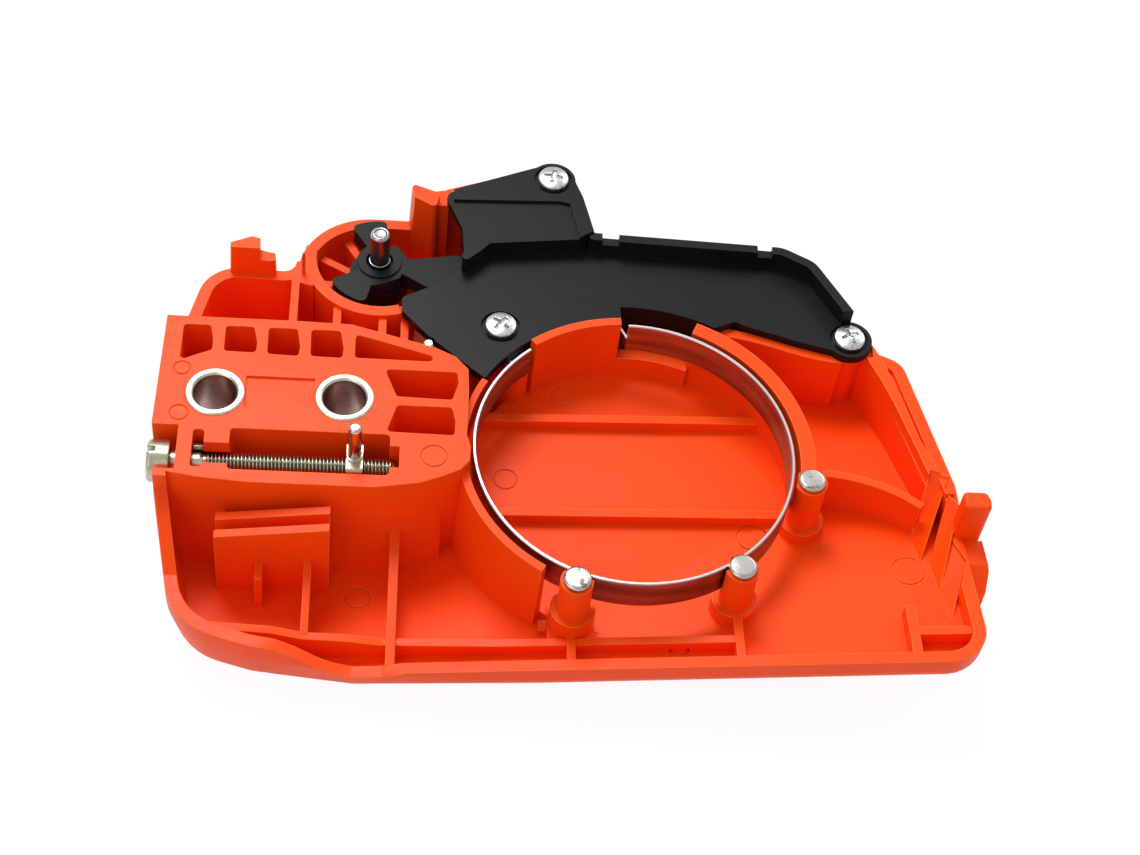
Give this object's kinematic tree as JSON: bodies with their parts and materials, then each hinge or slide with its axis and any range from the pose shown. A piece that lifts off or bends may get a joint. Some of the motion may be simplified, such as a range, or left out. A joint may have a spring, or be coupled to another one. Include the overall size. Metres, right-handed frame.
{
  "type": "chainsaw clutch cover with chain brake",
  "caption": "Open clutch cover of a chainsaw, lying on its outer face: clamping block with stud bushes, chain tensioner, brake band, spring linkage and hub.",
  "frame": {"origin": "middle of the cover's bounding box, on the outer face that it rests on", "axes": "+X along the guide bar line from the tensioner's screw head to the rear of the cover, +Y from the open front edge to the hand guard side, +Z out of the open side towards the engine"},
  "size_m": [0.1846, 0.1326, 0.041],
  "materials": {
    "orange_shell": "satin moulded nylon",
    "black_cover": "satin moulded",
    "screw_steel": "bright zinc",
    "pin_steel": "turned",
    "bush_steel": "zinc plated",
    "band_steel": "spring steel strip",
    "black_hub": "satin moulded",
    "shaft_steel": "ground",
    "lever_steel": "pressed, plated",
    "slider_steel": "sintered",
    "spring_steel": "oiled spring wire",
    "seat_steel": "pressed",
    "tension_screw": "yellow zinc on steel",
    "collar_steel": "yellow zinc",
    "carriage_steel": "sintered, plated",
    "peg_steel": "ground"
  },
  "bodies": {
    "housing": {"cover_housing": "orange_shell", "mechanism_cover": "black_cover", "cover_screws": "screw_steel", "band_pins": "pin_steel", "front_stud_bush": "bush_steel", "rear_stud_bush": "bush_steel", "brake_band": "band_steel", "band_anchor_pin": "pin_steel", "hub_shaft": "shaft_steel", "knee_pivot_pin": "pin_steel", "brake_spring": "spring_steel", "spring_end_seat": "seat_steel", "tension_screw_collar": "collar_steel", "cover_locating_pin": "pin_steel"},
    "hub": {"brake_hub": "black_hub"},
    "lever": {"knee_lever": "lever_steel", "knee_joint_pin": "pin_steel"},
    "link": {"knee_link": "lever_steel"},
    "slider": {"spring_slider": "slider_steel", "slider_pin": "pin_steel", "band_hook_pin": "pin_steel"},
    "screw": {"tension_screw": "tension_screw"},
    "carriage": {"tension_carriage": "carriage_steel", "tension_peg": "peg_steel"}
  },
  "joints": [
    {"name": "hub_turn", "type": "hinge", "parent": "housing", "child": "hub", "pos_m": [-0.04475, 0.039, 0.022], "axis": [0, 0, 1], "range_deg": [-18.1, 0]},
    {"name": "knee_lever_turn", "type": "hinge", "parent": "housing", "child": "lever", "pos_m": [-0.0175, 0.03067, 0.018], "axis": [0, 0, 1], "range_deg": [0, 29]},
    {"name": "knee_link_turn", "type": "hinge", "parent": "lever", "child": "link", "pos_m": [-0.0055, 0.03087, 0.021], "axis": [0, 0, 1], "range_deg": [-54.8, 0]},
    {"name": "slider_slide", "type": "slide", "parent": "housing", "child": "slider", "axis": [1, 0, 0], "range_m": [-0.00216, 0], "deforming": ["brake_spring", "brake_band"]},
    {"name": "tension_screw_turn", "type": "hinge", "parent": "housing", "child": "screw", "pos_m": [-0.06655, -0.0232, 0.0258], "axis": [1, 0, 0], "range_deg": [-2255, 11045]},
    {"name": "tension_carriage_slide", "type": "slide", "parent": "housing", "child": "carriage", "axis": [1, 0, 0], "range_m": [-0.0245, 0.005]}
  ],
  "couplings": [
    {"joint": "hub_turn", "follows": "slider_slide", "rad_per_m": 145.44},
    {"joint": "knee_lever_turn", "follows": "slider_slide", "rad_per_m": -232.71},
    {"joint": "knee_link_turn", "follows": "slider_slide", "rad_per_m": 440.21},
    {"joint": "tension_screw_turn", "follows": "tension_carriage_slide", "rad_per_m": -7854}
  ]
}
